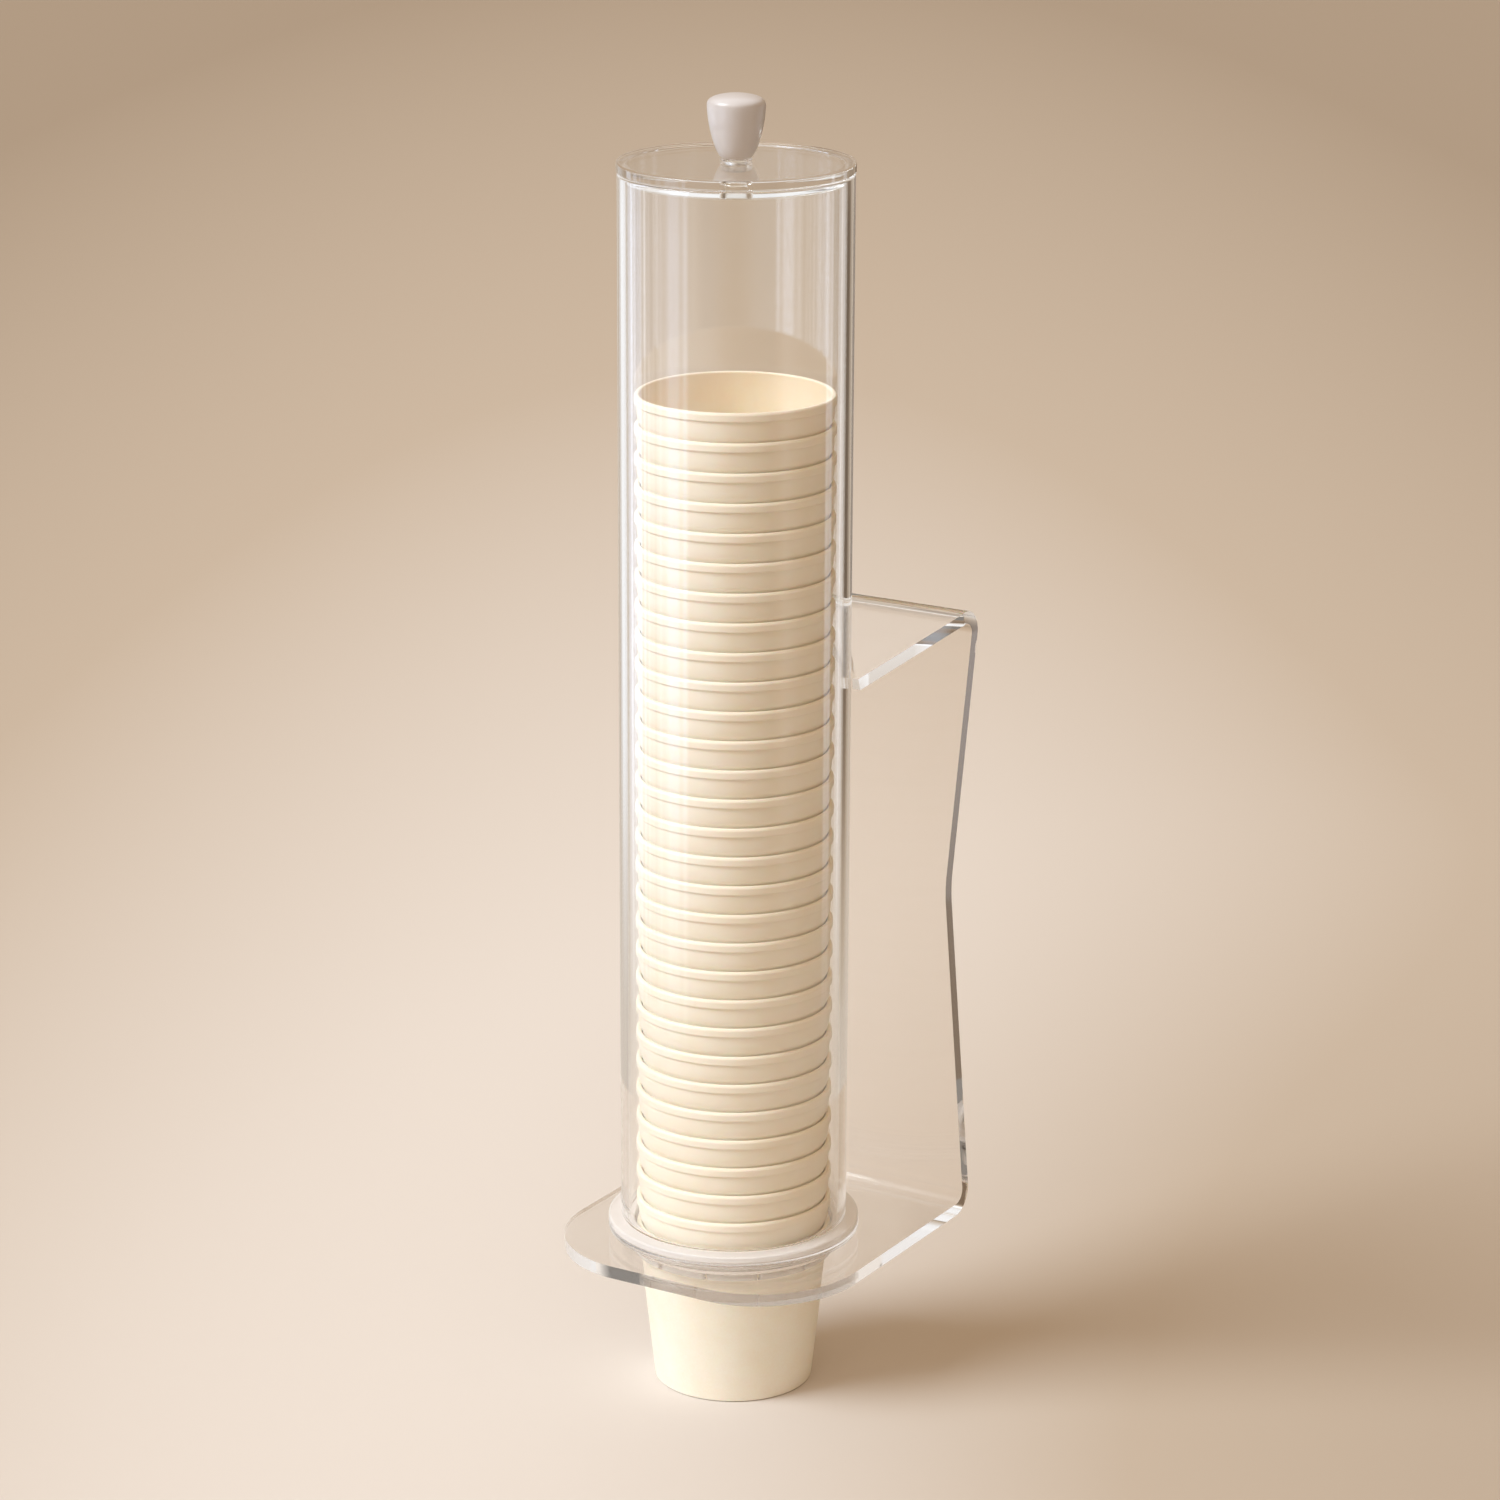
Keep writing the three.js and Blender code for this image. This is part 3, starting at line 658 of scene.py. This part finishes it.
def sweep_paper():
    """Seamless background paper: matt beige, with a painted pool of light round the object and a painted
    shadow to its right.

    Light that was mirrored twice or more sees a painted glow in it, dimmed to the left as painted shade,
    for the bright rim of the clear plate.
    """
    material, tree, output = new_material("sweep_paper")
    place = add_node(tree, "ShaderNodeNewGeometry")
    in_view = add_node(tree, "ShaderNodeVectorRotate", rotation_type="Z_AXIS",
                       links={"Vector": place.outputs["Position"]}, values={"Angle": -VIEW_AZIMUTH})
    # The painted pool of light, then the painted shadow to the object's right, which darkens the floor's
    # colour
    light_pool = ellipse_reach(tree, in_view.outputs[0], PAINTED_LIGHT_POOL_CENTRE, PAINTED_LIGHT_POOL_ACROSS, PAINTED_LIGHT_POOL_DEEP)
    fading = add_node(tree, "ShaderNodeMath", operation="POWER", links={0: light_pool}, values={1: PAINTED_LIGHT_POOL_POWER})
    painted_shadow_reach = ellipse_reach(tree, in_view.outputs[0], PAINTED_SHADOW_CENTRE, PAINTED_SHADOW_ACROSS, PAINTED_SHADOW_DEEP)
    shade = add_node(tree, "ShaderNodeMapRange", interpolation_type="SMOOTHSTEP",
                     links={"Value": painted_shadow_reach}, values={"To Min": PAINTED_SHADOW_AMOUNT, "To Max": 0.0})
    both = add_node(tree, "ShaderNodeMath", operation="ADD",
                    links={0: fading.outputs[0], 1: shade.outputs[0]})
    # Floor colours from the brightest of the painted pool of light out to the far floor
    ramp = add_node(tree, "ShaderNodeValToRGB", links={"Fac": both.outputs[0]})
    ramp.color_ramp.elements[0].color = linear("#F3F1F2")
    ramp.color_ramp.elements[1].color = linear("#A79888")
    ramp.color_ramp.elements.new(0.45).color = linear("#C2B5A7")
    body = add_node(tree, "ShaderNodeBsdfPrincipled", links={"Base Color": ramp.outputs["Color"]},
                    values={"Roughness": 0.9, "Specular IOR Level": 0.0})
    path = add_node(tree, "ShaderNodeLightPath")
    # Painted glow for light mirrored twice or more, with painted shade to the left of the view
    again = add_node(tree, "ShaderNodeMath", operation="GREATER_THAN",
                     links={0: path.outputs["Glossy Depth"]}, values={1: TWICE_OR_MORE})
    across = add_node(tree, "ShaderNodeSeparateXYZ", links={0: in_view.outputs[0]})
    level = add_node(tree, "ShaderNodeMapRange", links={"Value": across.outputs["X"]},
                     values={"From Min": PAINTED_EDGE_SHADE_TO, "From Max": PAINTED_EDGE_GLOW_FROM,
                             "To Min": PAINTED_EDGE_SHADE, "To Max": PAINTED_EDGE_GLOW})
    bright = add_node(tree, "ShaderNodeEmission", links={"Strength": level.outputs[0]},
                      values={"Color": linear("#FCF5EE")})
    mixed = add_node(tree, "ShaderNodeMixShader", links={
        0: again.outputs[0], 1: body.outputs[0], 2: bright.outputs[0]})
    tree.links.new(mixed.outputs[0], output.inputs["Surface"])
    return material


floor_mesh = bpy.data.meshes.new("sweep")
floor_mesh.from_pydata([(x * FLOOR_HALF, y * FLOOR_HALF, FLOOR_Z)
                        for x, y in ((-1, -1), (1, -1), (1, 1), (-1, 1))], [], [(0, 1, 2, 3)])
floor_mesh.materials.append(sweep_paper())
floor = bpy.data.objects.new("sweep", floor_mesh)
bpy.context.collection.objects.link(floor)
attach(floor, "bottom_cup")  # so that it stays under the lowest cup when that is pulled out

# World, a warm room that is brighter overhead. Seen straight, mirrored or through the clear pieces it is a
# plain beige instead, and mirrored light sees a bright panel overhead as well
ROOM_LOW = 0.2
ROOM_HIGH = 0.76
OVERHEAD_PANEL = 1.4
PANEL_FROM = 0.5
PANEL_FULL = 0.75
world = bpy.data.worlds.new("studio")
bpy.context.scene.world = world
world.use_nodes = True
sky = world.node_tree
sky.nodes.clear()
sky_output = sky.nodes.new("ShaderNodeOutputWorld")
sky_place = add_node(sky, "ShaderNodeTexCoord")
sky_height = add_node(sky, "ShaderNodeSeparateXYZ", links={0: sky_place.outputs["Generated"]})
sky_level = add_node(sky, "ShaderNodeMapRange", links={"Value": sky_height.outputs["Z"]},
                     values={"To Min": ROOM_LOW, "To Max": ROOM_HIGH})
room = add_node(sky, "ShaderNodeBackground", links={"Strength": sky_level.outputs[0]},
                values={"Color": linear("#FFDFB9")})
sky_path = add_node(sky, "ShaderNodeLightPath")
overhead = add_node(sky, "ShaderNodeMapRange", interpolation_type="SMOOTHSTEP",
                    links={"Value": sky_height.outputs["Z"]},
                    values={"From Min": PANEL_FROM, "From Max": PANEL_FULL})
early = add_node(sky, "ShaderNodeMath", operation="LESS_THAN",
                 links={0: sky_path.outputs["Glossy Depth"]}, values={1: MOST_MIRRORINGS})
for sky_share in (sky_path.outputs["Is Glossy Ray"], early.outputs[0]):
    overhead = add_node(sky, "ShaderNodeMath", operation="MULTIPLY",
                        links={0: overhead.outputs[0], 1: sky_share})
beige = add_node(sky, "ShaderNodeBackground", values={"Color": linear("#B9A38C"), "Strength": 1.0})
panel = add_node(sky, "ShaderNodeBackground",
                 values={"Color": linear("#FDFEFF"), "Strength": OVERHEAD_PANEL})
seen = add_node(sky, "ShaderNodeMixShader", links={
    0: overhead.outputs[0], 1: beige.outputs[0], 2: panel.outputs[0]})
sky_seen = add_node(sky, "ShaderNodeMath", operation="MAXIMUM", links={
    0: sky_path.outputs["Is Camera Ray"], 1: sky_path.outputs["Is Glossy Ray"]})
sky_seen = add_node(sky, "ShaderNodeMath", operation="MAXIMUM", links={
    0: sky_seen.outputs[0], 1: sky_path.outputs["Is Transmission Ray"]})
sky_mix = add_node(sky, "ShaderNodeMixShader", links={
    0: sky_seen.outputs[0], 1: room.outputs[0], 2: seen.outputs[0]})
sky.links.new(sky_mix.outputs[0], sky_output.inputs["Surface"])

# Lamps, as (name, colour, strength, degrees wide, degrees to the left of the camera, degrees up)
LAMPS = [("key_sun", "#ECF7FF", 2.75, 30, 71, 43), ("front_sun", "#FFF3E4", 0.45, 70, 25, 32)]
LAMP_AWAY = 3
centre = Vector((0, AXIS_Y * MM, 0.05))


def towards(degrees_left, elevation):
    """A direction from the object: degrees to the left of the camera's side, and above the floor."""
    turn = VIEW_AZIMUTH - math.radians(degrees_left)
    rise = math.radians(elevation)
    return Vector((math.sin(turn) * math.cos(rise), -math.cos(turn) * math.cos(rise), math.sin(rise)))


for name, colour, strength, wide, left, up in LAMPS:
    sun = bpy.data.lights.new(name, "SUN")
    sun.color = linear(colour)[:3]
    sun.energy = strength
    sun.angle = math.radians(wide)
    lamp = bpy.data.objects.new(name, sun)
    lamp.location = centre + towards(left, up) * LAMP_AWAY
    lamp.rotation_euler = (lamp.location - centre).to_track_quat("Z", "Y").to_euler()
    lamp.visible_camera = False
    bpy.context.collection.objects.link(lamp)

# A wall of light round the set: softboxes, as (degrees left of the camera, half width, soft edge,
# brightness), over a dim room, as (degrees left, brightness). It shows in mirrored light alone, so nothing
# stands behind the clear pieces from any side
ROOM_GLOW = [
    (-180, 0.3), (-166, 0.3), (-160, 0.6), (-149, 0.6), (-144, 0.15), (-133, 0.12), (-127, 0.6),
    (-112, 0.15), (-90, 0.5), (-70, 0.5), (-47, 0.8), (-34, 0.1), (-16, 0.25), (0, 0.45), (20, 0.95),
    (38, 1.2), (62, 1.7), (81, 0.9), (100, 1.2), (125, 0.5), (133, 0.9), (136, 1.05), (149, 1.05),
    (152, 0.5), (162, 0.5), (166, 0.8), (176, 0.6), (180, 0.3)]
SOFTBOXES = [
    (-169.5, 2, 3, 0.3), (-121.5, 2.5, 2.5, 1.3), (-100.5, 1, 2.5, 2.5), (48, 1, 2, 2.4),
    (60.5, 6, 2.5, 1.9), (75, 2, 2, 1.2), (86.5, 1, 2, 0.9), (93, 0.5, 1.5, 1.0), (99, 0.5, 1.5, 1.4),
    (107, 1.5, 2.5, 2.4), (118.5, 2.5, 3.5, 2.6)]
# A plain brightness past BEHIND for light that meets the wall without having passed through a clear piece,
# and what light that was mirrored twice or more sees all round
BEHIND = 150
BEHIND_LEFT = 0.65
BEHIND_RIGHT = 0.1
LATER_GLOW = [
    (-180, 1.1), (-140, 0.9), (-110, 0.45), (60, 0.45), (76, 0.24), (96, 0.24), (112, 0.45), (145, 1.0),
    (165, 1.1), (180, 1.1)]
WALL_LAYERS = ("glow", "face", "later")
WALL_REACH = 0.35
WALL_HEIGHT = 0.54
WALL_STEPS = 720
FOOT_GLOW = 0.72
WALL_LEVELS = [
    (0, 0.0), (0.04, 0.05), (0.09, 0.3), (0.15, 0.72), (0.2, 0.95), (0.25, 1.0), (0.41, 1.0),
    (WALL_HEIGHT, 0.0)]
BRIGHTEST = 3.0


def between(stops, place):
    """The value at a place among (place, value) stops."""
    before, after = next((a, b) for a, b in zip(stops, stops[1:]) if a[0] <= place <= b[0])
    return before[1] + (after[1] - before[1]) * (place - before[0]) / (after[0] - before[0])


def wall_glow(degrees):
    """The brightness of the wall of light in one direction."""
    glow = between(ROOM_GLOW, degrees)
    for place, half, soft, brightness in SOFTBOXES:
        glow += brightness * min(max((half + soft - abs(degrees - place)) / soft, 0), 1)
    return glow


def softbox_cloth():
    """Softbox cloth that glows for mirrored light alone, warm where it is dim and white where bright."""
    material, tree, output = new_material("softbox_cloth")
    path = add_node(tree, "ShaderNodeLightPath")
    guided, plain, later = (add_node(tree, "ShaderNodeAttribute", attribute_name=name)
                            for name in WALL_LAYERS)
    inside = add_node(tree, "ShaderNodeMath", operation="GREATER_THAN",
                      links={0: path.outputs["Transmission Depth"]}, values={1: ONCE_OR_MORE})
    first = add_node(tree, "ShaderNodeMix", data_type="FLOAT", links={
        "Factor": inside.outputs[0], "A": plain.outputs["Fac"], "B": guided.outputs["Fac"]})
    again = add_node(tree, "ShaderNodeMath", operation="GREATER_THAN",
                     links={0: path.outputs["Glossy Depth"]}, values={1: TWICE_OR_MORE})
    strength = add_node(tree, "ShaderNodeMix", data_type="FLOAT", links={
        "Factor": again.outputs[0], "A": first.outputs[0], "B": later.outputs["Fac"]})
    level = add_node(tree, "ShaderNodeMath", operation="DIVIDE",
                     links={0: strength.outputs[0]}, values={1: BRIGHTEST})
    tint = add_node(tree, "ShaderNodeValToRGB", links={"Fac": level.outputs[0]})
    tint.color_ramp.elements[0].color = linear("#DDB188")
    tint.color_ramp.elements[1].color = linear("#DDEAFF")
    tint.color_ramp.elements.new(0.6 / BRIGHTEST).color = linear("#F3DFC8")
    tint.color_ramp.elements.new(1.0 / BRIGHTEST).color = linear("#FCFDFF")
    light = add_node(tree, "ShaderNodeEmission", links={
        "Strength": strength.outputs[0], "Color": tint.outputs["Color"]})
    nothing = add_node(tree, "ShaderNodeBsdfTransparent")
    mirrored = add_node(tree, "ShaderNodeMath", operation="GREATER_THAN",
                        links={0: path.outputs["Glossy Depth"]}, values={1: ONCE_OR_MORE})
    mixed = add_node(tree, "ShaderNodeMixShader", links={
        0: mirrored.outputs[0], 1: nothing.outputs[0], 2: light.outputs[0]})
    tree.links.new(mixed.outputs[0], output.inputs["Surface"])
    return material


def softbox_wall():
    """The wall, which fades at its top and its foot to the floor's tone.

    What light that was mirrored twice or more sees isn't brightened there.
    """
    points, faces = [], []
    layers = {name: [] for name in WALL_LAYERS}
    across = len(WALL_LEVELS)
    for step in range(WALL_STEPS):
        degrees = 360 * step / WALL_STEPS - 180
        out = towards(degrees, 0) * WALL_REACH
        guided = wall_glow(degrees)
        behind = BEHIND_LEFT if degrees > 0 else BEHIND_RIGHT
        plain = guided if abs(degrees) < BEHIND else behind
        later = between(LATER_GLOW, degrees)
        feet = (FOOT_GLOW, FOOT_GLOW, min(later, FOOT_GLOW))
        for level, (height, share) in enumerate(WALL_LEVELS):
            points.append((out.x, out.y + AXIS_Y * MM, FLOOR_Z + height))
            for name, brightness, foot in zip(WALL_LAYERS, (guided, plain, later), feet):
                layers[name].append(foot + (brightness - foot) * share)
            if level + 1 < across:
                here, following = step * across + level, (step + 1) % WALL_STEPS * across + level
                faces.append((here, here + 1, following + 1, following))
    mesh = bpy.data.meshes.new("softbox_wall")
    mesh.from_pydata(points, [], faces)
    for name, values in layers.items():
        mesh.attributes.new(name, "FLOAT", "POINT").data.foreach_set("value", values)
    mesh.materials.append(softbox_cloth())
    wall = bpy.data.objects.new("softbox_wall", mesh)
    bpy.context.collection.objects.link(wall)
    wall.visible_camera = wall.visible_diffuse = wall.visible_shadow = False


softbox_wall()

# Camera, at the photograph's angle
CAMERA_PLACE = Vector((0.917343, -1.611361, 0.611067))
CAMERA_RIGHT = Vector((0.85898, 0.51199, 0.00339))
CAMERA_UP = Vector((-0.14914, 0.24387, 0.95827))
CAMERA_FORWARD = Vector((-0.48980, 0.82365, -0.28584))
CAMERA_LENS = 114.774
CAMERA_SENSOR = 36
CAMERA_SIGHT = 100
camera_data = bpy.data.cameras.new("camera")
camera_data.lens = CAMERA_LENS
camera_data.sensor_width = CAMERA_SENSOR
camera_data.clip_end = CAMERA_SIGHT
camera = bpy.data.objects.new("camera", camera_data)
camera.matrix_world = Matrix.Translation(CAMERA_PLACE) @ Matrix(
    (CAMERA_RIGHT, CAMERA_UP, -CAMERA_FORWARD)).transposed().to_4x4()
bpy.context.collection.objects.link(camera)
bpy.context.scene.camera = camera
bpy.context.scene.view_settings.view_transform = "Standard"
